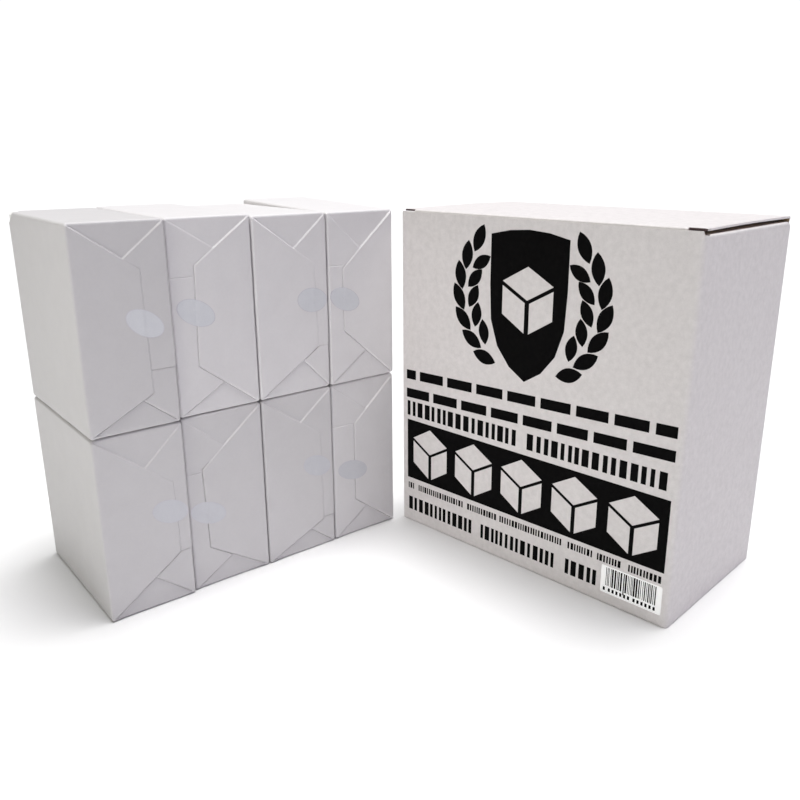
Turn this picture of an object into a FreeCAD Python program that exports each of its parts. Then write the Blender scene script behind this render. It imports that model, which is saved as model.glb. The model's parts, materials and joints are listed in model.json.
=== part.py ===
import FreeCAD, Part
import math
import os

# A boxed set of eight paper-wrapped gymnastics chalk blocks, as it stands on a shelf:
# the blocks are stacked four wide and two high, and the closed tuck-top carton that
# holds them stands beside the stack. Millimetres, +Z up, Z = 0 on the table.

os.makedirs("parts", exist_ok=True)

# ---------------------------------------------------------------- driving dimensions
# one wrapped block, lying on its long edge: across the stack, into the stack, upwards
BLOCK_THICK = 35.0
BLOCK_DEEP = 73.6
BLOCK_HIGH = 76.0
BLOCK_GAP = 0.4
ROW_GAP = 0.15
COLUMNS = 4
# the pressed blocks differ a little: extra height and forward (-) or back (+) offset
EXTRA_HIGH = {"upper": (2.0, 1.4, 0.3, 0.0), "lower": (-0.5, -0.1, 0.1, 0.1)}
SET_BACK = {"upper": (-1.4, 0.4, 0.3, 0.3), "lower": (-1.2, 0.4, 0.4, 0.8)}

# wrapping paper, its folded ends and the oval seals
PAPER = 0.25
END_PAPER = 0.6
FOLD_LAYER = 0.15
WRAP_CORNER = 1.5
WRAP_END_CORNER = 0.8
CHALK_CLEARANCE = 0.1
CHALK_CORNER = 1.0
FOLD_REACH = 0.56
OUTER_REACH = 0.78
OUTER_EDGE = 0.48
FOLD_SLOPE = 36.0
SEAL_LONG = 15.8
SEAL_SHORT = 10.0
SEAL_THICK = 0.12
SEAL_TILT = 18.0
SEAL_REACH = 0.74
SEAL_RISE = 0.51

# carton: outer width, depth and height, and its board
CARTON_WIDE = 143.0
CARTON_DEEP = 78.5
CARTON_HIGH = 152.0
BOARD = 0.9
CARTON_CORNER = 2.0
CREASE_GAP = 0.02
CREASE_ROUND = 0.63

# lid, tuck flap and dust flaps
LID_SIDE_INSET = 0.8
LID_FRONT_GAP = 0.25
LID_LIFT = 1.2
TUCK_LONG = 15.0
TUCK_LEAN = 9.0
TUCK_SIDE_INSET = 1.6
TUCK_CORNER = 6.0
LOCK_SLIT = 6.5
LOCK_DROP = 1.4
SHOULDER_RUN = 2.0
CUT_PAST = 1.0
DUST_LONG = 52.0
DUST_SHOULDER = 4.0
DUST_FRONT = 6.0
DUST_BACK = 3.0
DUST_TAPER = 26.0
DUST_CORNER = 5.0

# glued bottom and glued side seam
BOTTOM_INSET = 0.4
INNER_FLAP_SHORT = 8.0
BOTTOM_DUST_LONG = 50.0
BOTTOM_DUST_INSET = 3.0
TAB_WIDE = 14.0
TAB_INSET = 8.0

# barcode label on the front panel, from the panel's left and bottom edges
LABEL_LEFT = 113.6
LABEL_LOW = 5.0
LABEL_WIDE = 26.4
LABEL_HIGH = 12.0
LABEL_THICK = 0.1

# how the two groups stand: turns about +Z, and the stack's near right corner from the
# carton's near left corner
STACK_TURN = 39.8
CARTON_TURN = -43.8
STACK_FROM_CARTON = (-3.75, -3.3)


# ---------------------------------------------------------------- the layout
STACK_WIDE = COLUMNS * BLOCK_THICK + (COLUMNS - 1) * BLOCK_GAP


def turned(x, y, turn):
    """(x, y) turned by that many degrees about the origin."""
    c = math.cos(math.radians(turn))
    s = math.sin(math.radians(turn))
    return c * x - s * y, s * x + c * y


def stack_corner():
    """Near left corner of the stack, from the carton's near left corner."""
    dx, dy = turned(STACK_WIDE, 0.0, STACK_TURN)
    return STACK_FROM_CARTON[0] - dx, STACK_FROM_CARTON[1] - dy


def footprint_middle():
    """Middle of the plan box round both groups, from the carton's near left corner."""
    xs = []
    ys = []

    def add(corner, turn, x0, x1, y0, y1, radius):
        for x in (x0 + radius, x1 - radius):
            for y in (y0 + radius, y1 - radius):
                px, py = turned(x, y, turn)
                xs.extend((corner[0] + px - radius, corner[0] + px + radius))
                ys.extend((corner[1] + py - radius, corner[1] + py + radius))

    add((0.0, 0.0), CARTON_TURN, 0.0, CARTON_WIDE, 0.0, CARTON_DEEP, CARTON_CORNER)
    for row in ("upper", "lower"):
        for column in range(COLUMNS):
            x0 = column * (BLOCK_THICK + BLOCK_GAP)
            y0 = SET_BACK[row][column]
            add(stack_corner(), STACK_TURN, x0, x0 + BLOCK_THICK, y0, y0 + BLOCK_DEEP, WRAP_CORNER)
    return (min(xs) + max(xs)) / 2, (min(ys) + max(ys)) / 2


MIDDLE_X, MIDDLE_Y = footprint_middle()


def stand(shape, corner, turn):
    """Turns a shape made at the origin and stands it with its near left corner there."""
    placed = shape.copy()
    placed.rotate(FreeCAD.Vector(0, 0, 0), FreeCAD.Vector(0, 0, 1), turn)
    placed.translate(FreeCAD.Vector(corner[0] - MIDDLE_X, corner[1] - MIDDLE_Y, 0))
    return placed


def save(name, shape, corner, turn):
    """Writes one node in the row's frame."""
    placed = stand(shape, corner, turn)
    if not placed.isValid():
        raise ValueError(name + " isn't a valid shape")
    placed.exportStep("parts/" + name + ".step")
    box = placed.BoundBox
    print(
        "%-26s solids %d  volume %10.2f  box %7.2f %7.2f %7.2f to %7.2f %7.2f %7.2f"
        % (name, len(placed.Solids), placed.Volume, box.XMin, box.YMin, box.ZMin, box.XMax, box.YMax, box.ZMax)
    )


# ---------------------------------------------------------------- small shape helpers
def block(x0, x1, y0, y1, z0, z1):
    """A box between those limits."""
    return Part.makeBox(x1 - x0, y1 - y0, z1 - z0, FreeCAD.Vector(x0, y0, z0))


def extruded(points, direction):
    """A prism on a closed outline of (x, y, z) points."""
    loop = [FreeCAD.Vector(*p) for p in points]
    face = Part.Face(Part.makePolygon(loop + loop[:1]))
    return face.extrude(FreeCAD.Vector(*direction))


def edges_along(shape, axis, test=lambda point: True):
    """Straight edges that run along x, y or z (axis 0, 1 or 2) and pass a test."""
    found = []
    for edge in shape.Edges:
        if not isinstance(edge.Curve, Part.Line):
            continue
        run = edge.Vertexes[-1].Point - edge.Vertexes[0].Point
        if abs(abs(run[axis]) - run.Length) < 1e-6 and test(edge.CenterOfMass):
            found.append(edge)
    return found


def upright_tube(wide, deep, low, high, wall, corner):
    """A box tube with rounded corners, standing on z = low."""
    outside = block(0, wide, 0, deep, low, high)
    outside = outside.makeFillet(corner, edges_along(outside, 2))
    inside = block(wall, wide - wall, wall, deep - wall, low, high)
    inside = inside.makeFillet(corner - wall, edges_along(inside, 2))
    return outside.cut(inside)


# ---------------------------------------------------------------- the wrapped blocks
def fold_layer(points, level, outward):
    """One layer of folded paper on a block's end: its outline in (x, z), its depth
    below the outermost layer, and which way the end faces."""
    near = level if outward < 0 else BLOCK_DEEP - level
    loop = [(x, near, z) for x, z in points]
    return extruded(loop, (0, FOLD_LAYER if outward < 0 else -FOLD_LAYER, 0))


def end_folds(high, from_left, outward):
    """The envelope fold on one end. The top and bottom points are tucked in first, then
    the narrow side flap, and the wide flap with cut-off corners closes over them."""
    wide = BLOCK_THICK

    def across(x):
        return x if from_left else wide - x

    edge = WRAP_CORNER
    tip = OUTER_REACH * wide
    half_edge = OUTER_EDGE * high / 2
    outer = [
        (across(edge), edge),
        (across(tip), high / 2 - half_edge),
        (across(tip), high / 2 + half_edge),
        (across(edge), high - edge),
    ]
    inner_run = FOLD_REACH * wide - edge
    shoulder = edge + inner_run * math.tan(math.radians(FOLD_SLOPE))
    inner_tip = wide - edge - inner_run
    inner = [
        (across(wide - edge), edge),
        (across(inner_tip), shoulder),
        (across(inner_tip), high - shoulder),
        (across(wide - edge), high - edge),
    ]
    return [fold_layer(inner, FOLD_LAYER, outward), fold_layer(outer, 0.0, outward)]


def wrapper(high, from_left):
    """The folded paper round one block: a closed box of paper with layered ends."""
    ends = 2 * FOLD_LAYER
    body = block(0, BLOCK_THICK, ends, BLOCK_DEEP - ends, 0, high)
    body = body.makeFillet(WRAP_CORNER, edges_along(body, 1))
    body = body.makeFillet(WRAP_END_CORNER, edges_along(body, 2))
    body = body.fuse(end_folds(high, from_left, -1) + end_folds(high, not from_left, 1))
    hollow = block(
        PAPER,
        BLOCK_THICK - PAPER,
        END_PAPER,
        BLOCK_DEEP - END_PAPER,
        PAPER,
        high - PAPER,
    )
    return body.cut(hollow)


def chalk(high):
    """The pressed chalk block inside its wrapper."""
    side = PAPER + CHALK_CLEARANCE
    end = END_PAPER + CHALK_CLEARANCE
    core = block(side, BLOCK_THICK - side, end, BLOCK_DEEP - end, side, high - side)
    return core.makeChamfer(CHALK_CORNER, core.Edges)


def seal(high, from_left, outward):
    """The oval sticker over the wide flap's edge, on one end of a block."""
    middle_x = SEAL_REACH * BLOCK_THICK
    if not from_left:
        middle_x = BLOCK_THICK - middle_x
    near = 0.0 if outward < 0 else BLOCK_DEEP
    oval = Part.Ellipse(FreeCAD.Vector(0, 0, 0), SEAL_LONG / 2, SEAL_SHORT / 2)
    disc = Part.Face(Part.Wire(oval.toShape())).extrude(FreeCAD.Vector(0, 0, SEAL_THICK))
    disc.rotate(FreeCAD.Vector(0, 0, 0), FreeCAD.Vector(0, 0, 1), -SEAL_TILT)
    disc.rotate(FreeCAD.Vector(0, 0, 0), FreeCAD.Vector(1, 0, 0), 90 if outward < 0 else -90)
    disc.translate(FreeCAD.Vector(middle_x, near, SEAL_RISE * high))
    return disc


def make_stack():
    """Eight blocks with their wrappers and seals, each in its place in the stack."""
    corner = stack_corner()
    row_floor = {"lower": [0.0] * COLUMNS, "upper": []}
    for column in range(COLUMNS):
        row_floor["upper"].append(BLOCK_HIGH + EXTRA_HIGH["lower"][column] + ROW_GAP)
    for row in ("upper", "lower"):
        for column in range(COLUMNS):
            high = BLOCK_HIGH + EXTRA_HIGH[row][column]
            from_left = column % 2 == 0
            place = FreeCAD.Vector(
                column * (BLOCK_THICK + BLOCK_GAP), SET_BACK[row][column], row_floor[row][column]
            )
            name = "%s_%d_" % (row, column + 1)
            pieces = {
                "chalk": chalk(high),
                "wrapper": wrapper(high, from_left),
                "front_seal": seal(high, from_left, -1),
                "back_seal": seal(high, not from_left, 1),
            }
            for piece, shape in pieces.items():
                shape.translate(place)
                save(name + piece, shape, corner, STACK_TURN)


# ---------------------------------------------------------------- the carton
WALL_TOP = CARTON_HIGH - BOARD
DUST_TOP = WALL_TOP - LID_LIFT
SIDE_TOP = DUST_TOP - BOARD
LID_FRONT = BOARD + LID_FRONT_GAP


def mitred_wall(side, low, high):
    """One wall of the carton's tube, cut from its neighbours on the corner diagonals."""
    w = CARTON_WIDE
    d = CARTON_DEEP
    m = 2 * CARTON_CORNER
    outlines = {
        "front": [(0, 0), (w, 0), (w - m, m), (m, m)],
        "right": [(w, 0), (w, d), (w - m, d - m), (w - m, m)],
        "back": [(w, d), (0, d), (m, d - m), (w - m, d - m)],
        "left": [(0, d), (0, 0), (m, m), (m, d - m)],
    }
    tube = upright_tube(w, d, low, high, BOARD, CARTON_CORNER)
    wedge = extruded([(x, y, low) for x, y in outlines[side]], (0, 0, high - low))
    return tube.common(wedge)


def lid_panel():
    """The lid, from the back crease to the front one. Its front corners are slit off
    the tuck flap and end in a plain cut, set back a little."""
    half = math.radians((90.0 - TUCK_LEAN) / 2)
    mitre = BOARD / math.tan(half) + CREASE_GAP
    left = LID_SIDE_INSET
    section = [
        (left, LID_FRONT, CARTON_HIGH),
        (left, CARTON_DEEP, CARTON_HIGH),
        (left, CARTON_DEEP, WALL_TOP),
        (left, LID_FRONT + mitre, WALL_TOP),
    ]
    lid = extruded(section, (CARTON_WIDE - 2 * LID_SIDE_INSET, 0, 0))
    for x in (left, CARTON_WIDE - LID_SIDE_INSET - LOCK_SLIT):
        lid = lid.cut(block(x, x + LOCK_SLIT, 0.0, LID_FRONT + mitre, WALL_TOP, CARTON_HIGH))
    back_edge = edges_along(
        lid, 0, lambda p: p.y > CARTON_DEEP - 1e-3 and p.z > CARTON_HIGH - 1e-3
    )
    return lid.makeFillet(CREASE_ROUND, back_edge)


def tuck_flap():
    """The flap that tucks in behind the front panel. It leans inwards a little, and the
    slits at both ends of its crease free its shoulders from the lid."""
    half = math.radians((90.0 - TUCK_LEAN) / 2)
    mitre = BOARD / math.tan(half) + CREASE_GAP
    left = TUCK_SIDE_INSET
    section = [
        (left, 0.0, 0.0),
        (left, 0.0, -TUCK_LONG),
        (left, BOARD, -TUCK_LONG),
        (left, BOARD, -mitre),
    ]
    flap = extruded(section, (CARTON_WIDE - 2 * TUCK_SIDE_INSET, 0, 0))
    tips = edges_along(flap, 1, lambda p: p.z < -TUCK_LONG + 1e-3)
    flap = flap.makeFillet(TUCK_CORNER, tips)
    for x in (0.0, CARTON_WIDE - LID_SIDE_INSET - LOCK_SLIT):
        end = x + LID_SIDE_INSET + LOCK_SLIT
        flap = flap.cut(block(x, end, -CUT_PAST, BOARD + CUT_PAST, -LOCK_DROP, CUT_PAST))
    flap.rotate(FreeCAD.Vector(0, 0, 0), FreeCAD.Vector(1, 0, 0), TUCK_LEAN)
    flap.translate(FreeCAD.Vector(0, LID_FRONT, CARTON_HIGH))
    return flap


def dust_flap(on_left):
    """A flap folded in from a side panel's top edge, under the lid. Its back edge
    tapers, so that the lid's back crease leaves room for it to rise."""
    tip_back = CARTON_DEEP - DUST_BACK - DUST_LONG * math.tan(math.radians(DUST_TAPER))
    outline = [
        (0, DUST_SHOULDER),
        (LOCK_SLIT, DUST_SHOULDER),
        (LOCK_SLIT + SHOULDER_RUN, DUST_FRONT),
        (DUST_LONG, DUST_FRONT),
        (DUST_LONG, tip_back),
        (0, CARTON_DEEP - DUST_BACK),
    ]
    flap = extruded([(x, y, SIDE_TOP) for x, y in outline], (0, 0, BOARD))
    tips = edges_along(flap, 2, lambda p: p.x > DUST_LONG - 1e-3)
    flap = flap.makeFillet(DUST_CORNER, tips)
    crease = edges_along(flap, 1, lambda p: p.x < 1e-3 and p.z > DUST_TOP - 1e-3)
    flap = flap.makeFillet(CREASE_ROUND, crease)
    if on_left:
        return flap
    return flap.mirror(FreeCAD.Vector(CARTON_WIDE / 2, 0, 0), FreeCAD.Vector(1, 0, 0))


def bottom_dust_flap(on_left):
    """A narrow flap under the contents, glued to the wide ones below it."""
    reach = (BOARD, BOARD + BOTTOM_DUST_LONG)
    if not on_left:
        reach = (CARTON_WIDE - BOARD - BOTTOM_DUST_LONG, CARTON_WIDE - BOARD)
    front = BOARD + BOTTOM_DUST_INSET
    return block(reach[0], reach[1], front, CARTON_DEEP - front, 2 * BOARD, 3 * BOARD)


def make_carton():
    """The tuck-top carton, closed, with its glued bottom and side seam."""
    w = CARTON_WIDE
    d = CARTON_DEEP
    inset = BOTTOM_INSET
    corner = CARTON_CORNER
    pieces = {
        "front_panel": mitred_wall("front", 0, WALL_TOP),
        "back_panel": mitred_wall("back", BOARD, WALL_TOP),
        "left_side_panel": mitred_wall("left", BOARD, SIDE_TOP),
        "right_side_panel": mitred_wall("right", BOARD, SIDE_TOP),
        "glue_tab": block(
            BOARD, 2 * BOARD, d - corner - TAB_WIDE, d - corner, TAB_INSET, SIDE_TOP - TAB_INSET
        ),
        "bottom_outer_flap": block(inset, w - inset, corner, d - inset, 0, BOARD),
        "bottom_inner_flap": block(BOARD, w - BOARD, INNER_FLAP_SHORT, d - corner, BOARD, 2 * BOARD),
        "bottom_left_flap": bottom_dust_flap(True),
        "bottom_right_flap": bottom_dust_flap(False),
        "lid_panel": lid_panel(),
        "tuck_flap": tuck_flap(),
        "left_dust_flap": dust_flap(True),
        "right_dust_flap": dust_flap(False),
        "barcode_label": block(
            LABEL_LEFT, LABEL_LEFT + LABEL_WIDE, -LABEL_THICK, 0, LABEL_LOW, LABEL_LOW + LABEL_HIGH
        ),
    }
    for name, shape in pieces.items():
        save(name, shape, (0.0, 0.0), CARTON_TURN)


make_carton()
make_stack()
print("middle of the footprint from the carton's near left corner: %.4f, %.4f" % (MIDDLE_X, MIDDLE_Y))
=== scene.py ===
import json
import math
import random

import bmesh
import bpy
import numpy as np
from mathutils import Matrix, Vector
from mathutils.geometry import delaunay_2d_cdt, tessellate_polygon


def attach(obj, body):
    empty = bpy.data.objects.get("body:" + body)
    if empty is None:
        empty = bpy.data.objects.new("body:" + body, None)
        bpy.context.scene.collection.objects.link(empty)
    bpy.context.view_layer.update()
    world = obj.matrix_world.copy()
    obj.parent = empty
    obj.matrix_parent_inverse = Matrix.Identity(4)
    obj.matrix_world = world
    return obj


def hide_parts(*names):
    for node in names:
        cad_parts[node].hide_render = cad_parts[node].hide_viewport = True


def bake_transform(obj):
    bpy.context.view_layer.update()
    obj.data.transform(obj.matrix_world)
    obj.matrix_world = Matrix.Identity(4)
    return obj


# Eight paper-wrapped gymnastics chalk blocks, stacked beside the tuck-top carton that
# holds them. Lengths in this script are millimetres in each group's own frame (x along
# its front, y away from the front, z up), and place() turns them into the row's metres.

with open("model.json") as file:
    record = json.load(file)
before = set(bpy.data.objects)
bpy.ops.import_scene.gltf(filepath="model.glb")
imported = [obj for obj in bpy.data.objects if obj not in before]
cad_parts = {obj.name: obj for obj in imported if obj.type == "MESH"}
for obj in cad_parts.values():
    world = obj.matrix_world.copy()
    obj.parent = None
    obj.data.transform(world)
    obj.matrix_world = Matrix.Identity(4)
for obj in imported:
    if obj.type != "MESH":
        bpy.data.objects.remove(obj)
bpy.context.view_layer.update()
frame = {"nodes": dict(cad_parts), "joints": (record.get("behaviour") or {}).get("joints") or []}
nodes = frame["nodes"]
joints = {j["name"]: j for j in frame["joints"]}
MM = 0.001

UP = Vector((0, 0, 1))
STACK_Y = -Vector(joints["lower_1_draw"]["axis"])
STACK_X = STACK_Y.cross(UP)
CARTON_X = -Vector(joints["lid_hinge"]["axis"])
CARTON_Y = UP.cross(CARTON_X)
STACK_AXES = (STACK_X, STACK_Y, UP)
CARTON_AXES = (CARTON_X, CARTON_Y, UP)


def local_box(names, axes):
    """Lowest and highest corner of CAD nodes along three axes, in millimetres."""
    low = []
    high = []
    for axis in axes:
        reach = [v.co.dot(axis) / MM for n in names for v in nodes[n].data.vertices]
        low.append(min(reach))
        high.append(max(reach))
    return low, high


def local_frame(axes, corner):
    """Matrix from a group's millimetres, measured from a corner, to the row's metres."""
    move = Matrix.Translation(sum((a * c for a, c in zip(axes, corner)), Vector()) * MM)
    turn = Matrix([[a[i] * MM for a in axes] for i in range(3)]).to_4x4()
    return move @ turn


# ---------------------------------------------------------------- mesh helpers
def make_piece(name, points, faces, slots, place, material, sharp):
    """A closed mesh piece from millimetre points. slots gives each face its material."""
    mesh = bpy.data.meshes.new(name)
    mesh.from_pydata([place @ Vector(p) for p in points], [], faces)
    materials = material if isinstance(material, (list, tuple)) else [material]
    for m in materials:
        mesh.materials.append(m)
    mesh.polygons.foreach_set("material_index", slots)
    outward(mesh)
    mesh.polygons.foreach_set("use_smooth", [True] * len(mesh.polygons))
    mesh.set_sharp_from_angle(angle=math.radians(sharp))
    mesh.validate()
    piece = bpy.data.objects.new(name, mesh)
    bpy.context.scene.collection.objects.link(piece)
    even = piece.modifiers.new("even_normals", "WEIGHTED_NORMAL")
    even.keep_sharp = True
    return piece


def outward(mesh):
    """Turns every face outwards."""
    bm = bmesh.new()
    bm.from_mesh(mesh)
    bmesh.ops.recalc_face_normals(bm, faces=bm.faces)
    bm.to_mesh(mesh)
    bm.free()


class Builder:
    """Collects the points and faces of one piece, in millimetres."""

    def __init__(self):
        self.points = []
        self.faces = []
        self.slots = []

    def add(self, points):
        first = len(self.points)
        self.points.extend(tuple(float(c) for c in p) for p in points)
        return list(range(first, len(self.points)))

    def face(self, corners, slot=0):
        self.faces.append(tuple(corners))
        self.slots.append(slot)

    def band(self, a, b, slot=0, closed=True):
        """Quads between two rings of equal length."""
        n = len(a)
        for i in range(n if closed else n - 1):
            j = (i + 1) % n
            self.face((a[i], a[j], b[j], b[i]), slot)

    def prism(self, loops, near, far):
        """A thin slab: flat outlines in (x, z), the first outside and the rest holes,
        between the depths near and far."""
        flat = [[Vector((x, z, 0)) for x, z in loop] for loop in loops]
        corners = [p for loop in flat for p in loop]
        front = self.add([(p.x, near, p.y) for p in corners])
        back = self.add([(p.x, far, p.y) for p in corners])
        for t in tessellate_polygon(flat):
            self.face([front[i] for i in t])
            self.face([back[i] for i in reversed(t)])
        start = 0
        for loop in loops:
            n = len(loop)
            for i in range(n):
                a = start + i
                b = start + (i + 1) % n
                self.face((front[a], front[b], back[b], back[a]))
            start += n

    def piece(self, name, place, material, sharp=50.0):
        return make_piece(name, self.points, self.faces, self.slots, place, material, sharp)


# ---------------------------------------------------------------- materials
def new_material(name, roughness, specular=0.5):
    mat = bpy.data.materials.new(name)
    mat.use_nodes = True
    shader = mat.node_tree.nodes["Principled BSDF"]
    shader.inputs["Roughness"].default_value = roughness
    shader.inputs["Specular IOR Level"].default_value = specular
    return mat, mat.node_tree, shader


def link(tree, a, b):
    tree.links.new(a, b)


def noise_node(tree, scale, detail=4.0, rough=0.55, stretch=(1, 1, 1)):
    """Noise on the piece's own position, with the scale per metre."""
    where = tree.nodes.new("ShaderNodeTexCoord")
    mapping = tree.nodes.new("ShaderNodeMapping")
    mapping.inputs["Scale"].default_value = stretch
    tex = tree.nodes.new("ShaderNodeTexNoise")
    tex.inputs["Scale"].default_value = scale
    tex.inputs["Detail"].default_value = detail
    tex.inputs["Roughness"].default_value = rough
    link(tree, where.outputs["Object"], mapping.inputs["Vector"])
    link(tree, mapping.outputs["Vector"], tex.inputs["Vector"])
    return tex.outputs["Fac"]


def spread(tree, value, low, high, to_low, to_high):
    """Maps a value's middle range to another range."""
    node = tree.nodes.new("ShaderNodeMapRange")
    limits = {"From Min": low, "From Max": high, "To Min": to_low, "To Max": to_high}
    for slot, number in limits.items():
        node.inputs[slot].default_value = number
    link(tree, value, node.inputs["Value"])
    return node.outputs["Result"]


def blend_colour(tree, factor, dark, light):
    """Colour between dark and light, by the factor."""
    node = tree.nodes.new("ShaderNodeMix")
    node.data_type = "RGBA"
    node.inputs["A"].default_value = (*dark, 1)
    node.inputs["B"].default_value = (*light, 1)
    link(tree, factor, node.inputs["Factor"])
    return node.outputs["Result"]


def math_node(tree, operation, value):
    node = tree.nodes.new("ShaderNodeMath")
    node.operation = operation
    link(tree, value, node.inputs[0])
    return node


def weighted(tree, value, weight):
    node = math_node(tree, "MULTIPLY", value)
    node.inputs[1].default_value = weight
    return node.outputs[0]


def added(tree, a, b):
    node = math_node(tree, "ADD", a)
    link(tree, b, node.inputs[1])
    return node.outputs[0]


def bump(tree, shader, height, strength, distance):
    node = tree.nodes.new("ShaderNodeBump")
    node.inputs["Strength"].default_value = strength
    node.inputs["Distance"].default_value = distance
    link(tree, height, node.inputs["Height"])
    link(tree, node.outputs["Normal"], shader.inputs["Normal"])


# how a sheet's tone is mixed from coarse clouds and a finer mottle, how far its roughness
# varies, and how its fibre bump stretches and swells
CLOUD_SHARE = 0.6
FINE_SHARE = 0.4
FINE_SCALE = 7.0
ROUGHNESS_SPREAD = 0.07
FIBRE_STRETCH = (1.0, 1.0, 0.45)
SWELL_SCALE = 0.12
SWELL_SHARE = 1.6
BUMP_DISTANCE = 0.00012


def sheet_material(name, dark, light, roughness, mottle, grain, depth, specular=0.4):
    """Paper or board: cloudy tone at two scales, and a fibrous bump."""
    mat, tree, shader = new_material(name, roughness, specular)
    cloud = noise_node(tree, mottle, 5.0)
    fine = noise_node(tree, mottle * FINE_SCALE, 3.0)
    tone = added(tree, weighted(tree, cloud, CLOUD_SHARE), weighted(tree, fine, FINE_SHARE))
    colour = blend_colour(tree, spread(tree, tone, 0.34, 0.66, 0.0, 1.0), dark, light)
    link(tree, colour, shader.inputs["Base Color"])
    smooth = roughness - ROUGHNESS_SPREAD
    rough = roughness + ROUGHNESS_SPREAD
    link(tree, spread(tree, fine, 0.3, 0.7, smooth, rough), shader.inputs["Roughness"])
    fibre = noise_node(tree, grain, 4.0, 0.65, FIBRE_STRETCH)
    swell = noise_node(tree, grain * SWELL_SCALE, 2.0)
    height = added(tree, fibre, weighted(tree, swell, SWELL_SHARE))
    bump(tree, shader, height, depth, BUMP_DISTANCE)
    return mat


PAPER_DARK = (0.775, 0.758, 0.764)
PAPER_LIGHT = (0.805, 0.788, 0.794)


def paper_material(name, tone):
    """The wrapping paper, its tone scaled per block: the paper's own slight differences, and darker on
    upper_1 and the lower row as painted shade.
    """
    dark = [tone * c for c in PAPER_DARK]
    light = [tone * c for c in PAPER_LIGHT]
    return sheet_material(name, dark, light, 0.58, 130.0, 3600.0, 0.28)


BOARD = sheet_material(
    "carton_board_outside", (0.715, 0.685, 0.686), (0.822, 0.788, 0.79), 0.62, 430.0, 2600.0, 0.4
)
LINER = sheet_material(
    "carton_board_inside", (0.40, 0.30, 0.195), (0.53, 0.41, 0.28), 0.8, 240.0, 2400.0, 0.5, 0.25
)
EDGE = sheet_material(
    "carton_board_cut_edge", (0.60, 0.57, 0.55), (0.74, 0.715, 0.70), 0.85, 420.0, 5200.0, 0.7, 0.2
)
# painted shade: a near-black board colour put on the notch faces, where the slit locks leave only shade
NOTCH_SHADE = sheet_material(
    "carton_board_notch_painted_shade", (0.10, 0.07, 0.075), (0.17, 0.12, 0.13), 0.9, 420.0, 5200.0, 0.7, 0.1
)
LABEL = sheet_material(
    "label_paper", (0.86, 0.86, 0.86), (0.92, 0.92, 0.92), 0.42, 160.0, 3000.0, 0.12
)
# painted light: the label glows a little by emission, which makes it whiter than the board
label_glow_shader = LABEL.node_tree.nodes["Principled BSDF"]
label_glow_shader.inputs["Emission Color"].default_value = (1, 1, 1, 1)
label_glow_shader.inputs["Emission Strength"].default_value = 0.24
INK = sheet_material(
    "print_ink", (0.002, 0.002, 0.0024), (0.005, 0.0047, 0.0047), 0.8, 600.0, 2600.0, 0.3, 0.05
)
FILM = sheet_material(
    "seal_film", (0.69, 0.70, 0.735), (0.735, 0.745, 0.775), 0.36, 220.0, 1800.0, 0.12, 0.5
)
# painted shade: a darker copy of the seal film, for the lower row's seals
SHADED_FILM = sheet_material(
    "seal_film_painted_shade", (0.635, 0.64, 0.675), (0.675, 0.68, 0.71), 0.4, 220.0, 1800.0, 0.12, 0.4
)
# painted shade: a darker film colour round each seal's rim
FILM_RIM_SHADE = sheet_material(
    "seal_film_rim_painted_shade", (0.60, 0.585, 0.63), (0.70, 0.69, 0.73), 0.4, 260.0, 1800.0, 0.12, 0.5
)
CHALK = sheet_material(
    "pressed_chalk", (0.80, 0.80, 0.785), (0.90, 0.90, 0.885), 0.93, 300.0, 1500.0, 0.9, 0.15
)


# ---------------------------------------------------------------- the wrapped blocks
# One row per block, in millimetres on its front end, with u measured from the side that
# the wide outer flap comes from: the flap's edge (upper tip u, z; lower tip u, z), the
# crossings where the narrow flap's diagonals go under it (upper u, z; lower u, z), the
# sheet's seam height, and the seal's middle (u, z), tilt in degrees, length and width.
FOLDS = {
    "upper_1": ((24.3, 57.5), (25.2, 13.5), (18.6, 61.8), (20.6, 11.6), 22.5, (24.4, 40.4), -32, 15.6, 9.4),
    "upper_2": ((24.6, 56.8), (25.6, 19.8), (16.3, 63.0), (15.0, 11.7), 55.0, (25.2, 41.0), -27, 16.6, 9.9),
    "upper_3": ((28.1, 54.2), (29.4, 19.2), (19.5, 61.7), (22.0, 13.8), 19.3, (26.9, 39.8), -8, 14.8, 10.5),
    "upper_4": ((27.4, 50.7), (27.3, 24.1), (17.8, 59.2), (15.6, 13.6), 53.2, (26.8, 38.2), -23, 16.2, 9.8),
    "lower_1": ((29.1, 51.3), (30.0, 21.1), (19.0, 60.0), (19.0, 13.1), 21.2, (27.4, 39.6), -19, 15.0, 9.8),
    "lower_2": ((28.0, 51.7), (27.0, 17.6), (17.8, 60.4), (17.4, 10.7), 51.5, (26.8, 33.3), -22, 16.2, 9.5),
    "lower_3": ((28.4, 54.7), (28.9, 13.4), (18.9, 62.1), (21.8, 10.3), 14.2, (26.2, 40.4), -22, 14.8, 9.6),
    "lower_4": ((22.9, 54.5), (23.1, 17.7), (16.6, 61.0), (16.3, 12.6), 55.8, (24.4, 32.9), -15, 16.8, 9.5),
}
# the block height that the rows' z values are measured on
ROW_HIGH = 75.0

# the wrapper's rounded edges: round its ends, along its sides, and the turns of each
END_RADIUS = 1.0
EDGE_RADIUS = 1.25
EDGE_TURNS = 4
PAPER_INSET = 0.05
LOOP_STEP = 3.4

# height of the narrow and the wide flap over the folds' zero level, the wide flap's
# extra lift at its edge and how far that reaches, and the sheet's seam step
NARROW_LEVEL = 0.27
WIDE_LEVEL = 0.47
EDGE_LIFT = 0.13
EDGE_LIFT_RUN = 2.2
SEAM_STEP = 0.14

# how a folded edge rises: where it starts, over what run, and how quickly it rounds
RISE_START = 0.02
RISE_RUN = 0.5
RISE_CURVE = 1.4

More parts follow.
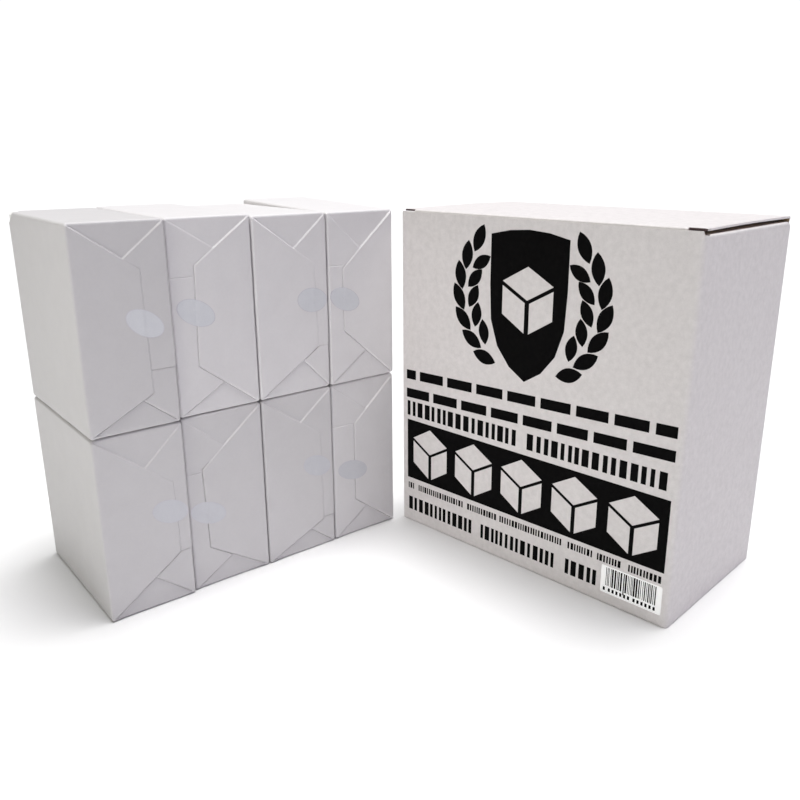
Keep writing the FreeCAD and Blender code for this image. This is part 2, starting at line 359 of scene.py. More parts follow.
# the shadow gap outside a folded edge: where it starts, how soon it is at its depth, how
# far in it closes, and its depth by the kind of edge
GAP_START = 0.34
GAP_RUN = 0.28
GAP_CLOSE = 0.06
WIDE_LOW_GAP = 0.46
WIDE_TOP_GAP = 0.02
WIDE_EDGE_GAPS = {"seam up": 0.16, "seam down": 0.42}
NARROW_LOW_GAP = 0.36
SEAM_GAP = 0.2

# how deep the innermost fold sags, and how far from the end's top or bottom edge
SAG = 0.14
SAG_RUN = 16.0

# distances from a flap's edge where its profile has points, from the gap to the top, and
# how far the narrow flap's edges are followed past their ends
PROFILE = (-0.42, -0.3, -0.06, 0.0, 0.06, 0.2, 0.5, 0.65)
FLAP_PAST = 2.2

# faint machine creases beside the wide flap's edge
PLEATS = (0.75, 1.4, 2.05, 2.7, 3.35)
PLEAT_DEPTH = 0.03
PLEAT_MARGIN = 0.1

# waves in the paper: their shortest and longest length, and their height
FLAP_WAVE = ((14, 45), 0.11)
FLAP_RIPPLE = ((4, 9), 0.022)
INNER_WAVE = ((10, 30), 0.07)
SIDE_WAVE = ((16, 50), 0.09)
SIDE_RIPPLE = ((5, 12), 0.02)

# the folds' own zero level below the block's end, and the lowest that a fold may reach
PAPER_DEPTH = 0.32
FOLD_LOWEST = -0.34

# spacing of the mesh on an end: along the folds, between them, and how uneven it is
FOLD_STEP = 4.5
GRID_STEP = 3.6
GRID_SHIFT = 0.5
GRID_MARGIN = END_RADIUS + PAPER_INSET + 0.3

# the seals' film, its rings as shares of its radius, and how far it sinks in the paper
SEAL_THICK = 0.07
SEAL_RIM_THICK = 0.028
SEAL_SINK = 0.03
SEAL_RINGS = (0.15, 0.32, 0.5, 0.68, 0.84, 0.955, 0.985)
SEAL_UNDER_RINGS = (0.8, 0.5, 0.2)
SEAL_CENTRE = 0.0001
SEAL_SPOKES = 44
SEAL_MARGIN = 0.6
SEAL_DRAPE = (-0.9, -0.45, 0.0, 0.45, 0.9)


def waves(seed, sizes, height, count=5):
    """A smooth random surface in two directions, from a few sine waves."""
    draw = random.Random(seed)
    parts = []
    for _ in range(count):
        angle = draw.uniform(0, math.pi)
        k = 2 * math.pi / draw.uniform(*sizes)
        parts.append((k * math.cos(angle), k * math.sin(angle), draw.uniform(0, 6.3), draw.uniform(0.5, 1.0)))

    def surface(a, b):
        value = np.zeros(np.broadcast(a, b).shape)
        for ka, kb, start, size in parts:
            value = value + size * np.sin(ka * np.asarray(a) + kb * np.asarray(b) + start)
        return value * height / count

    return surface


def beside(p, q, u, z):
    """How far a point is to the left of the line from p to q."""
    length = math.hypot(q[0] - p[0], q[1] - p[1])
    return ((q[0] - p[0]) * (z - p[1]) - (q[1] - p[1]) * (u - p[0])) / length


def shifted(chain, s):
    """An open chain of points moved to its left, with mitred corners."""
    runs = []
    for p, q in zip(chain, chain[1:]):
        d = Vector(q) - Vector(p)
        side = Vector((-d.y, d.x)).normalized() * s
        runs.append((Vector(p) + side, d))
    out = [runs[0][0]]
    for (p, d), (q, e) in zip(runs, runs[1:]):
        t = ((q.x - p.x) * e.y - (q.y - p.y) * e.x) / (d.x * e.y - d.y * e.x)
        out.append(p + d * t)
    out.append(runs[-1][0] + runs[-1][1])
    return out


def clipped(p, q, low_u, high_u, low_z, high_z):
    """The part of a segment inside a rectangle, or None."""
    t0, t1 = 0.0, 1.0
    d = Vector(q) - Vector(p)
    for start, step, low, high in ((p[0], d.x, low_u, high_u), (p[1], d.y, low_z, high_z)):
        if abs(step) < 1e-9:
            if not low <= start <= high:
                return None
            continue
        a, b = sorted(((low - start) / step, (high - start) / step))
        t0, t1 = max(t0, a), min(t1, b)
    if t1 - t0 < 1e-4:
        return None
    return Vector(p) + d * t0, Vector(p) + d * t1


def rise(s):
    """How a folded edge rounds up to its full height."""
    x = np.clip((s + RISE_START) / (RISE_RUN + RISE_START), 0, 1)
    return 1 - (1 - x) ** RISE_CURVE


def gap(s, deep):
    """The narrow shadow gap just outside a folded edge."""
    x = np.clip((s + GAP_START) / GAP_RUN, 0, 1)
    return -deep * np.where(s < 0.0, x, np.clip(1 - s / GAP_CLOSE, 0, 1))


def pleats(s):
    """Faint machine creases on both sides of the wide flap's edge."""
    away = np.abs(s)
    first, second, last = PLEATS[0], PLEATS[1], PLEATS[-1]
    band = (away > first - PLEAT_MARGIN) & (away < last + PLEAT_MARGIN)
    turn = np.abs(((away - first) / (2 * (second - first))) % 1.0 - 0.5) * 2
    return np.where(band, PLEAT_DEPTH * (1 - turn), 0.0)


class EndFold:
    """The folded paper on one end of a block, as a height over (u, z)."""

    def __init__(self, wide, high, fold, seam_on_wide_flap, seam_up, seed):
        self.wide, self.high = wide, high
        (tu, tz), (bu, bz), (cu, cz), (du, dz), self.seam, self.seal, self.tilt = fold[:7]
        self.seal_long, self.seal_short = fold[7:]
        top = high - ROW_HIGH
        self.flap = [(0.0, 0.0), (bu, bz), (tu, tz + top), (0.0, high)]
        self.narrow_top = [(wide, high), (cu, cz + top)]
        self.narrow_low = [(du, dz), (wide, 0.0)]
        self.seam_on_wide_flap, self.seam_up = seam_on_wide_flap, seam_up
        self.edge_gap = WIDE_EDGE_GAPS["seam up" if seam_up else "seam down"]
        self.wave = waves(seed, *FLAP_WAVE)
        self.ripple = waves(seed + 50, *FLAP_RIPPLE)
        self.low_wave = waves(seed + 90, *INNER_WAVE)

    def inside_wide(self, u, z):
        """How far a point is inside the wide flap's low, middle and top edges."""
        return [beside(p, q, u, z) for p, q in zip(self.flap, self.flap[1:])]

    def inside_narrow(self, u, z):
        """How far a point is inside the narrow flap's top and low edges."""
        return beside(*self.narrow_top, u, z), beside(*self.narrow_low, u, z)

    def seam_height(self, z):
        s = (z - self.seam) if self.seam_up else (self.seam - z)
        return SEAM_STEP * rise(s) + gap(s, SEAM_GAP)

    def height(self, u, z):
        """Height of the paper over the folds' zero level."""
        u, z = np.asarray(u, float), np.asarray(z, float)
        low, edge, top = self.inside_wide(u, z)
        s_wide = np.minimum(np.minimum(low, edge), top)
        s_narrow = np.minimum(*self.inside_narrow(u, z))
        upper = z > self.high / 2
        from_edge = np.where(upper, self.high - z, z)
        base = -SAG * np.clip(from_edge / SAG_RUN, 0, 1) + self.low_wave(u, z)
        base = base + gap(s_narrow, np.where(upper, 0.0, NARROW_LOW_GAP))
        narrow = NARROW_LEVEL + self.ripple(u, z) + pleats(edge)
        if not self.seam_on_wide_flap:
            narrow = narrow + self.seam_height(z)
        h = base + (narrow - base) * rise(s_narrow)
        nearest = np.argmin(np.stack([low, edge, top]), axis=0)
        deep = np.choose(nearest, (WIDE_LOW_GAP, self.edge_gap, WIDE_TOP_GAP))
        lift = EDGE_LIFT * np.exp(-np.maximum(s_wide, 0) / EDGE_LIFT_RUN)
        level = WIDE_LEVEL + lift + self.wave(u, z)
        level = level + self.ripple(z, u) + pleats(edge) * np.clip(s_wide, 0, 1)
        if self.seam_on_wide_flap:
            level = level + self.seam_height(z)
        h = h + gap(s_wide, deep)
        return np.maximum(h + (level - h) * rise(s_wide), FOLD_LOWEST)

    def lines(self):
        """Chains of points that the end's mesh has to follow."""
        found = []
        top_from, top_to = (Vector(p) for p in self.narrow_top)
        low_from, low_to = (Vector(p) for p in self.narrow_low)
        top_to = top_to + (top_to - top_from).normalized() * FLAP_PAST
        low_from = low_from + (low_from - low_to).normalized() * FLAP_PAST
        for s in PROFILE:
            found.append(shifted(self.flap, s))
            found.append(shifted([top_from, top_to], s))
            found.append(shifted([low_from, low_to], s))
        for s in PLEATS:
            toe, tip = shifted(self.flap, -s)[1:3]
            found.append([toe + (tip - toe) * 0.1, tip - (tip - toe) * 0.1])
            found.append(shifted(self.flap, s)[1:3])
        edge_u = (self.flap[1][0] + self.flap[2][0]) / 2
        for s in PROFILE:
            z = self.seam + (s if self.seam_up else -s)
            if self.seam_on_wide_flap:
                found.append([(0, z), (edge_u - 0.8, z)])
            else:
                found.append([(edge_u + 0.5, z), (self.wide, z)])
        return found


def stops(low, high, step, marks=()):
    """Evenly spaced values strictly between two limits, with the marks put in."""
    count = max(1, round((high - low) / step))
    values = [low + (high - low) * i / count for i in range(1, count)]
    values = [v for v in values if all(abs(v - m) > 0.7 for m in marks)]
    return sorted(values + [m for m in marks if low < m < high])


def rounded_loop(wide, high, radius, step, turns, right_marks=(), left_marks=()):
    """Points and inward normals round a rectangle with rounded corners."""
    points, inward = [], []

    def arc(cx, cz, start):
        for i in range(turns + 1):
            a = math.radians(start + 90.0 * i / turns)
            points.append((cx + radius * math.cos(a), cz + radius * math.sin(a)))
            inward.append((-math.cos(a), -math.sin(a)))

    def line(values, point, normal):
        for v in values:
            points.append(point(v))
            inward.append(normal)

    arc(radius, radius, 180)
    line(stops(radius, wide - radius, step), lambda v: (v, 0), (0, 1))
    arc(wide - radius, radius, 270)
    line(stops(radius, high - radius, step, right_marks), lambda v: (wide, v), (-1, 0))
    arc(wide - radius, high - radius, 0)
    line(stops(radius, wide - radius, step)[::-1], lambda v: (v, high), (0, -1))
    arc(radius, high - radius, 90)
    line(stops(radius, high - radius, step, left_marks)[::-1], lambda v: (0, v), (1, 0))
    return np.array(points), np.array(inward)


def end_triangles(border, fold, flip, wide, high):
    """Triangles over one end, inside its border ring. Returns the new points in (x, z)
    and the triangles, whose first indices are the border's."""

    def across(u):
        return wide - u if flip else u

    points = [Vector(p) for p in border]
    edges = [(i, (i + 1) % len(border)) for i in range(len(border))]
    for chain in fold.lines():
        for p, q in zip(chain, chain[1:]):
            part = clipped(p, q, GRID_MARGIN, wide - GRID_MARGIN, GRID_MARGIN, high - GRID_MARGIN)
            if part is None:
                continue
            a, b = part
            count = max(1, round((b - a).length / FOLD_STEP))
            first = len(points)
            for i in range(count + 1):
                c = a + (b - a) * (i / count)
                points.append(Vector((across(c[0]), c[1])))
            edges.extend((first + i, first + i + 1) for i in range(count))
    draw = random.Random(round(high * 10))
    for u in stops(0, wide, GRID_STEP):
        for z in stops(0, high, GRID_STEP):
            inside_u = GRID_MARGIN < u < wide - GRID_MARGIN
            if inside_u and GRID_MARGIN < z < high - GRID_MARGIN:
                shift_u = draw.uniform(-GRID_SHIFT, GRID_SHIFT)
                shift_z = draw.uniform(-GRID_SHIFT, GRID_SHIFT)
                points.append(Vector((u + shift_u, z + shift_z)))
    result = delaunay_2d_cdt(points, edges, [list(range(len(border)))], 1, 1e-5)
    coords, triangles, origins = result[0], result[2], result[3]
    index = {}
    extra = []
    for i, source in enumerate(origins):
        own = [k for k in source if k < len(border)]
        if own:
            index[i] = own[0]
        else:
            index[i] = len(border) + len(extra)
            extra.append(coords[i])
    return extra, [tuple(index[i] for i in t) for t in triangles]


# millimetres cut off a knocked corner, and how far a paper top stands proud at its back
CUT_CORNER = {"upper_1": 5.0}
RAISED_BACK = {"upper_4": 2.4, "upper_2": 0.5}
# each block's paper tone: small differences of the paper itself, with upper_1 and the lower row darker as
# painted shade
PAPER_TONES_AND_SHADE = {"upper": (0.83, 0.98, 1.0, 1.01), "lower": (0.84, 0.85, 0.86, 0.95)}
# where the side that carries the seam has points, from the seam's height
SEAM_MARKS = (-0.3, -0.04, 0.04, 0.5)
SIDE_SEAM_STEP = SEAM_STEP * 0.7
SIDE_RINGS = 12
SIDE_SINK = 0.03
BACK_FOLD_SHIFT = 1.4


def wrapper_loop(wide, high, seam, seam_side, seam_up):
    """The section round a block's long sides, with the seam's step on one side."""
    marks = tuple(seam + s for s in SEAM_MARKS)
    loop, inward = rounded_loop(
        wide - 2 * PAPER_INSET,
        high - 2 * PAPER_INSET,
        EDGE_RADIUS,
        LOOP_STEP,
        EDGE_TURNS,
        marks if seam_side == "right" else (),
        marks if seam_side == "left" else (),
    )
    loop = loop + PAPER_INSET
    side = wide if seam_side == "right" else 0.0
    on_seam_side = np.abs(loop[:, 0] - side) < PAPER_INSET + 0.01
    above = (loop[:, 1] - seam) * (1 if seam_up else -1)
    proud = np.where(on_seam_side, SIDE_SEAM_STEP * (rise(above) - 1), 0.0)
    return loop - inward * proud[:, None], inward


def add_end(build, end, flip, from_back, size, loop, inward):
    """One folded end and the rounded rings round it, the ring by the sides first."""
    wide, deep, high = size

    def level(x, z):
        depth = PAPER_DEPTH - end.height(wide - x if flip else x, z)
        return deep - depth if from_back else depth

    inner = loop + inward * END_RADIUS
    surface = level(inner[:, 0], inner[:, 1])
    rings = []
    for i in range(EDGE_TURNS + 1):
        a = math.radians(90.0 * i / EDGE_TURNS)
        flat = loop + inward * END_RADIUS * (1 - math.cos(a))
        fall = END_RADIUS * (1 - math.sin(a))
        y = surface - fall if from_back else surface + fall
        rings.append(build.add(np.column_stack([flat[:, 0], y, flat[:, 1]])))
    extra, triangles = end_triangles([tuple(p) for p in inner], end, flip, wide, high)
    middle = np.array([[p[0], p[1]] for p in extra])
    y = level(middle[:, 0], middle[:, 1])
    own = rings[-1] + build.add(np.column_stack([middle[:, 0], y, middle[:, 1]]))
    for t in triangles:
        build.face([own[i] for i in t])
    return rings


def add_sides(build, front_ring, back_ring, loop, inward, seed):
    """Rings along the four long sides, a little uneven between their two ends."""
    front_edge = np.array([build.points[i] for i in front_ring])
    back_edge = np.array([build.points[i] for i in back_ring])
    wave = waves(seed + 20, *SIDE_WAVE)
    ripple = waves(seed + 30, *SIDE_RIPPLE)
    around = np.cumsum(np.r_[0, np.linalg.norm(np.diff(loop, axis=0), axis=1)])
    rings = []
    for j in range(1, SIDE_RINGS + 1):
        t = j / (SIDE_RINGS + 1)
        p = front_edge * (1 - t) + back_edge * t
        fade = min(1.0, 4 * t, 4 * (1 - t))
        push = (wave(around, p[:, 1]) + ripple(around, p[:, 1])) * fade + SIDE_SINK * fade
        push = np.maximum(push, 0.0)
        p[:, 0] += inward[:, 0] * push
        p[:, 2] += inward[:, 1] * push
        rings.append(build.add(p))
    return rings


def knock_corner(build, cut, deep, high):
    """Flattens the left top corner at the back, by moving its points inwards."""
    for index, (x, y, z) in enumerate(build.points):
        past = (cut - x - (deep - y) - (high - z)) / 3
        if past > 0:
            build.points[index] = (x + past, y - past, z - past)


def raise_back(build, by, deep, high):
    """Lifts the top towards the back."""
    for index, (x, y, z) in enumerate(build.points):
        lift = by * (y / deep) * (z / high) ** 3
        build.points[index] = (x, y, z + lift)


def make_wrapper(name, row, column, seed):
    """The folded paper round one block, and its two oval seals."""
    low, top = local_box([name + "_wrapper"], STACK_AXES)
    wide, deep, high = size = [b - a for a, b in zip(low, top)]
    place = local_frame(STACK_AXES, low)
    # every other block stands the other way round, so its wide flap is on the other side
    wide_from_left = column % 2 == 0
    fold = FOLDS[name]
    front = EndFold(wide, high, fold, False, wide_from_left, seed)
    back = EndFold(wide, high, back_fold(fold, seed), True, wide_from_left, seed + 7)
    ends = (("front", front, not wide_from_left), ("back", back, wide_from_left))
    seam_side = "right" if wide_from_left else "left"
    loop, inward = wrapper_loop(wide, high, fold[4], seam_side, wide_from_left)
    build = Builder()
    front_rings = add_end(build, front, not wide_from_left, False, size, loop, inward)
    back_rings = add_end(build, back, wide_from_left, True, size, loop, inward)
    middle = add_sides(build, front_rings[0], back_rings[0], loop, inward, seed)
    if name in CUT_CORNER:
        knock_corner(build, CUT_CORNER[name], deep, high)
    if name in RAISED_BACK:
        raise_back(build, RAISED_BACK[name], deep, high)
    ordered = front_rings[::-1] + middle + back_rings
    for a, b in zip(ordered, ordered[1:]):
        build.band(a, b)
    paper = paper_material("wrapping_paper_" + name, PAPER_TONES_AND_SHADE[row][column])
    piece = build.piece(name + "_paper", place, paper, 58.0)
    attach(piece, name)
    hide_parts(name + "_wrapper")
    for which, end, flip in ends:
        make_seal(name, which, end, flip, wide, deep, place)


def back_fold(fold, seed):
    """The other end's fold: the same kind of fold, a few millimetres different."""
    draw = random.Random(seed * 3 + 1)

    def near(point):
        shift_u = draw.uniform(-BACK_FOLD_SHIFT, BACK_FOLD_SHIFT)
        return point[0] + shift_u, point[1] + draw.uniform(-BACK_FOLD_SHIFT, BACK_FOLD_SHIFT)

    tip, toe, cross, under, seam = fold[:5]
    seal = (tip[0] + draw.uniform(-1.5, 1.0), draw.uniform(34.0, 40.5))
    return near(tip), near(toe), cross, under, seam, seal, draw.uniform(-28, -6), *fold[7:]


def make_seal(name, which, end, flip, wide, deep, place):
    """A thin oval film over the wide flap's edge, draped on the paper."""
    build = Builder()
    tilt = math.radians(-end.tilt if flip else end.tilt)
    c, s = math.cos(tilt), math.sin(tilt)
    cu, cz = end.seal
    reach = math.hypot(end.seal_long / 2 * c, end.seal_short / 2 * s)
    cu = min(cu, wide - SEAL_MARGIN - reach)
    angles = np.arange(SEAL_SPOKES) * 2 * math.pi / SEAL_SPOKES

    def ring(radius, rise_by):
        a = radius * end.seal_long / 2 * np.cos(angles)
        b = radius * end.seal_short / 2 * np.sin(angles)
        u, z = cu + a * c - b * s, cz + a * s + b * c
        smooth = np.zeros(SEAL_SPOKES)
        for shift in SEAL_DRAPE:
            smooth += end.height(u + shift, z) / len(SEAL_DRAPE)
        smooth = np.maximum(smooth, end.height(u, z) + 0.01)
        y = PAPER_DEPTH - smooth - rise_by
        if which == "back":
            y = deep - y
        return build.add(np.column_stack([wide - u if flip else u, y, z]))

    top = [ring(radius, SEAL_THICK) for radius in (SEAL_CENTRE, *SEAL_RINGS)]
    rim = ring(1.0, SEAL_RIM_THICK)
    under = [ring(radius, -SEAL_SINK) for radius in (1.0, *SEAL_UNDER_RINGS, SEAL_CENTRE)]
    build.face(top[0][::-1])
    # the outermost ring and the rim take the darker rim film, painted shade along the seal's edge
    for i, (a, b) in enumerate(zip(top, top[1:])):
        build.band(a, b, 1 if i == len(SEAL_RINGS) - 1 else 0)
    build.band(top[-1], rim, 1)
    build.band(rim, under[0], 1)
    for a, b in zip(under, under[1:]):
        build.band(a, b)
    build.face(under[-1])
    # the lower row's seals take the darker film, as painted shade
    film = FILM if name.startswith("upper") else SHADED_FILM
    piece = build.piece("%s_%s_film" % (name, which), place, [film, FILM_RIM_SHADE])
    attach(piece, name)
    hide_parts("%s_%s_seal" % (name, which))


for row, first_seed in (("upper", 11), ("lower", 51)):
    for column in range(4):
        block = "%s_%d" % (row, column + 1)
        make_wrapper(block, row, column, first_seed + column)
        chalk = nodes[block + "_chalk"]
        chalk.data.materials.clear()
        chalk.data.materials.append(CHALK)


# ---------------------------------------------------------------- the carton
WALLS = ["front_panel", "back_panel", "left_side_panel", "right_side_panel"]
carton_low, carton_high = local_box(WALLS, CARTON_AXES)
WIDE, DEEP, WALL_TOP = (b - a for a, b in zip(carton_low, carton_high))
IN_CARTON = local_frame(CARTON_AXES, carton_low)
THICK = 0.9
HIGH = WALL_TOP + THICK
DUST_TOP = 149.9

# the board pieces' materials, by slot; the last is a near-black painted shade for the notch faces at the
# lid's slit locks
BOARD_LOOKS = [BOARD, LINER, EDGE, NOTCH_SHADE]
OUTSIDE, INSIDE, CUT, NOTCH_SHADE_SLOT = range(4)

# the walls' corners, the spacing of their mesh, and how far they bow out
CORNER = 2.0
CORNER_TURNS = 6
WALL_STEP = 11.0
SIDE_BOW = 0.35
BOW_WAVE = ((60, 140), 0.16)
# tops of the walls below their creases, and of the front corners beside the dust flaps
BACK_TOP = 149.4
SIDE_TOP = 148.6
FRONT_CORNER_TOP = 149.7
# how near to the front or back plane a point belongs to that wall
WALL_EDGE = 0.55
# the walls' foot, as height and distance in, and the heights of their other points
FOOT = ((0.06, 0.5), (0.25, 0.18), (0.6, 0.04))
OUTER_LEVELS = (0.9, 4.0, *(4.0 + 12.0 * i for i in range(1, 12)), 147.6)
INNER_LEVELS = (147.6, 110.0, 75.0, 40.0, 2.0, 0.1)


def make_sleeve():
    """The four walls: one sheet of board folded round, with soft corner creases."""
    build = Builder()
    outer, inward = rounded_loop(WIDE, DEEP, CORNER, WALL_STEP, CORNER_TURNS)
    x, y = outer[:, 0], outer[:, 1]
    front = y < WALL_EDGE
    back = y > DEEP - WALL_EDGE
    top = np.where(front, WALL_TOP, np.where(back, BACK_TOP, SIDE_TOP))
    top = np.where(~front & (y < CORNER), FRONT_CORNER_TOP, top)
    across = np.clip(np.where(back, x / WIDE, y / DEEP), 0, 1)
    bulge = np.where(front, 0.0, SIDE_BOW * np.sin(math.pi * across))
    bow_wave = waves(5, *BOW_WAVE)

    def ring(height, inset, drop=0.0):
        z = np.minimum(height, top)
        bow = bulge * np.sin(math.pi * np.clip(z / HIGH, 0, 1))
        bow = bow + np.where(bow > 0, bow_wave(x + y, z) * np.minimum(1, bow / 0.1), 0)
        flat = outer + inward * (inset - bow)[:, None]
        return build.add(np.column_stack([flat, z - drop]))

    outside = [ring(z, inset) for z, inset in FOOT]
    outside += [ring(z, 0.0) for z in OUTER_LEVELS]
    outside += [ring(HIGH, 0.02, 0.22), ring(HIGH, 0.16)]
    inside = [ring(HIGH, THICK - 0.1)]
    inside += [ring(z, THICK) for z in INNER_LEVELS]
    for a, b in zip(outside, outside[1:]):
        build.band(a, b, OUTSIDE)
    build.band(outside[-1], inside[0], CUT)
    for a, b in zip(inside, inside[1:]):
        build.band(a, b, INSIDE)
    build.band(inside[-1], outside[0], CUT)
    piece = build.piece("carton_walls", IN_CARTON, [BOARD, LINER, EDGE], 40.0)
    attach(piece, "carton")
    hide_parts(*WALLS)


# the lid: its distance in from the walls' sides, its bow, its creases' middle radius,
# and where the lid's piece ends and the tuck flap's begins
LID_INSET = 0.8
LID_MIDDLE = HIGH - THICK / 2
LID_BOW = 0.3
LID_CREASE = 0.62
LID_SPLIT = 5.0
LID_ROWS = 16
FRONT_CREASE = 1.15
BACK_MIDDLE = DEEP - THICK / 2
# heights at which the lid grows out of the back wall, and its distance in there
LID_FOOT = ((149.3, 1.2), (150.2, 1.0))

# the slit locks at the lid's two front corners
LOCK = 6.5
LOCK_BACK = 2.45

# the tuck flap: lean off upright, length past its crease, its shoulders and its tips
TUCK_LEAN = 9.0
TUCK_RUN = 14.0
TUCK_INSET = 1.6
SHOULDER = 0.9
SHOULDER_RUN = 3.5
TUCK_TIP = 6.0

# the dust flaps: crease, taper of the back edge, the front edge's set-back, and the tip
DUST_CREASE = 0.6
DUST_FOOT = ((148.5, 2.3), (148.78, 2.3))
DUST_TAPER = 26.0
DUST_SET_BACK = 2.0
DUST_TIP = 5.0
TIP_TURNS = 6
EDGE_ROUND = 0.13


def board_strip(name, stations, to_point, steps, side=CUT):
    """A strip of board along a path. Each station is (a, b, na, nb, low, high): a point on
    the middle of the board, the outside's direction, and the strip's limits across. side is
    the slot of its two long edges; a step in from them is a notch, painted near-black as shade."""
    build = Builder()
    layers = {}
    for slot, off in ((OUTSIDE, THICK / 2), (INSIDE, -THICK / 2)):
        rows = []
        for a, b, na, nb, low, high in stations:
            row = []
            for i in range(steps + 1):
                t = low + (high - low) * (0.5 - 0.5 * math.cos(math.pi * i / steps))
                trim = EDGE_ROUND if slot == OUTSIDE and i in (0, steps) else 0.0
                row.append(to_point(a + na * (off - trim), b + nb * (off - trim), t))
            rows.append(build.add(row))
        layers[slot] = rows
    for slot, rows in layers.items():
        for a, b in zip(rows, rows[1:]):
            build.band(a, b, slot, closed=False)
    for k in range(len(stations) - 1):
        notch = stations[k + 1][4] - stations[k][4] > LOCK / 2
        a, b = layers[OUTSIDE][k : k + 2]
        c, d = layers[INSIDE][k : k + 2]
        for i in (0, -1):
            # a notch's end faces get the near-black painted shade
            build.face((a[i], b[i], d[i], c[i]), NOTCH_SHADE_SLOT if notch else side)
    for k in (0, -1):
        build.band(layers[OUTSIDE][k], layers[INSIDE][k], CUT, closed=False)
    return build.piece(name, IN_CARTON, BOARD_LOOKS, 40.0)


def arc_stations(ca, cb, radius, start, end, count, low, high):
    """Stations round a crease, whose outside faces away from its centre."""
    out = []
    for i in range(count + 1):
        t = math.radians(start + (end - start) * i / count)
        c, s = math.cos(t), math.sin(t)
        out.append((ca + radius * c, cb + radius * s, c, s, low, high))
    return out


def along_lid(y, z, across):
    return across, y, z


def lid_bow(y):
    """How far the closed lid bows up between its creases."""
    t = (y - FRONT_CREASE) / (DEEP - FRONT_CREASE)
    return LID_BOW * math.sin(math.pi * min(max(t, 0), 1)) ** 1.4


def lid_station(y, inset=LID_INSET):
    return y, LID_MIDDLE + lid_bow(y), 0, 1, inset, WIDE - inset


def make_lid():
    """The lid with its back crease, which grows out of the back wall."""
    stations = [(BACK_MIDDLE, z, 1, 0, inset, WIDE - inset) for z, inset in LID_FOOT]
    first = BACK_MIDDLE - LID_CREASE
    low, high = LID_INSET, WIDE - LID_INSET
    stations += arc_stations(first, LID_MIDDLE - LID_CREASE, LID_CREASE, 0, 90, 6, low, high)
    for i in range(1, LID_ROWS + 1):
        stations.append(lid_station(first + (LID_SPLIT - first) * i / LID_ROWS))
    piece = board_strip("lid_board", stations, along_lid, 16, side=OUTSIDE)
    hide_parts("lid_panel")
    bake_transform(piece)


def make_tuck():
    """The lid's front edge, its crease, and the flap tucked in behind the front."""
    lean = math.radians(TUCK_LEAN)
    stations = [lid_station(y) for y in (LID_SPLIT, 4.0, 3.2, LOCK_BACK)]
    stations.append(lid_station(LOCK_BACK - 0.01, LID_INSET + LOCK))
    centre_y = FRONT_CREASE + THICK / 2 + LID_CREASE
    centre_z = LID_MIDDLE - LID_CREASE
    low, high = LID_INSET + LOCK, WIDE - LID_INSET - LOCK
    stations += arc_stations(centre_y, centre_z, LID_CREASE, 90, 180 + TUCK_LEAN, 7, low, high)
    last_y, last_z = stations[-1][:2]
    runs = [(0.35, LOCK), (SHOULDER, LOCK), (SHOULDER + 0.02, 0.0)]
    runs += [(SHOULDER + SHOULDER_RUN, 0.0), (TUCK_RUN - TUCK_TIP, 0.0)]
    for i in range(1, TIP_TURNS + 1):
        a = math.radians(90.0 * i / TIP_TURNS)
        runs.append((TUCK_RUN - TUCK_TIP + TUCK_TIP * math.sin(a), TUCK_TIP * (1 - math.cos(a))))
    for run, pull in runs:
        y = last_y + math.sin(lean) * run
        z = last_z - math.cos(lean) * run
        low = TUCK_INSET + pull
        stations.append((y, z, -math.cos(lean), -math.sin(lean), low, WIDE - low))
    piece = board_strip("tuck_board", stations, along_lid, 18)
    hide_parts("tuck_flap")
    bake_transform(piece)


def make_dust_flap(name, on_left):
    """A flap folded in from a side wall's top edge, with its crease."""

    def to_point(from_side, z, across):
        return from_side if on_left else WIDE - from_side, across, z

    low, high = local_box([name], CARTON_AXES)
    reach = high[0] - low[0]
    near = low[1] - carton_low[1]
    far = high[1] - carton_low[1]
    middle = DUST_TOP - THICK / 2
    wall = THICK / 2
    centre = wall + DUST_CREASE
    stations = [(wall, z, -1, 0, inset, DEEP - inset) for z, inset in DUST_FOOT]
    stations += arc_stations(centre, middle - DUST_CREASE, DUST_CREASE, 180, 90, 6, near, far)
    tip_start = reach - DUST_TIP
    runs = [2.5, LOCK, LOCK + 2.0, 20.0, 35.0, tip_start]
    for i in range(1, TIP_TURNS + 1):
        runs.append(tip_start + DUST_TIP * math.sin(math.radians(90 * i / TIP_TURNS)))
    for run in runs:
        past = max(0.0, run - tip_start)
        pull = DUST_TIP - math.sqrt(max(0.0, DUST_TIP**2 - past**2))
        front_edge = near if run <= LOCK else near + DUST_SET_BACK
        back_edge = far - math.tan(math.radians(DUST_TAPER)) * run
        stations.append((run, middle, 0, 1, front_edge + pull, back_edge - pull * 0.8))
    piece = board_strip(name + "_board", stations, to_point, 12)
    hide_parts(name)
    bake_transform(piece)


make_sleeve()
make_lid()
make_tuck()
make_dust_flap("left_dust_flap", True)
make_dust_flap("right_dust_flap", False)
INNER_NODES = ("bottom_inner_flap", "bottom_left_flap", "bottom_right_flap", "glue_tab")
for name in ("bottom_outer_flap", *INNER_NODES):
    nodes[name].data.materials.clear()
    nodes[name].data.materials.append(LINER if name in INNER_NODES else BOARD)


# ---------------------------------------------------------------- print and label
# the ink's two depths on the front wall, the emblem's middle, and the dark band's outline
INK_NEAR = -0.05
INK_FAR = 0.02
EMBLEM_X = 71.5
EMBLEM_CUBE_Z = 119.0
LEAVES_Z = 118.0
# half of the shield's outline from its foot, as (sideways, height)
HALF_SHIELD = (
    (0, 85), (8, 90), (14.5, 98), (18.2, 109), (19, 124), (19, 144.5), (9.5, 146.5), (0, 147.2)
)
# each row of leaves: reach, first swing and step in degrees, count, lean, leaf's size
LEAF_ROWS = ((28.0, -36.0, 17.5, 5, 26.0, 11.0, 5.4), (36.0, -52.0, 16.5, 7, -24.0, 12.6, 6.0))
BAND = [(4, 23), (140, 23), (140, 53), (4, 53)]


def ink(build, outline, holes=()):
    build.prism([outline, *holes], INK_NEAR, INK_FAR)


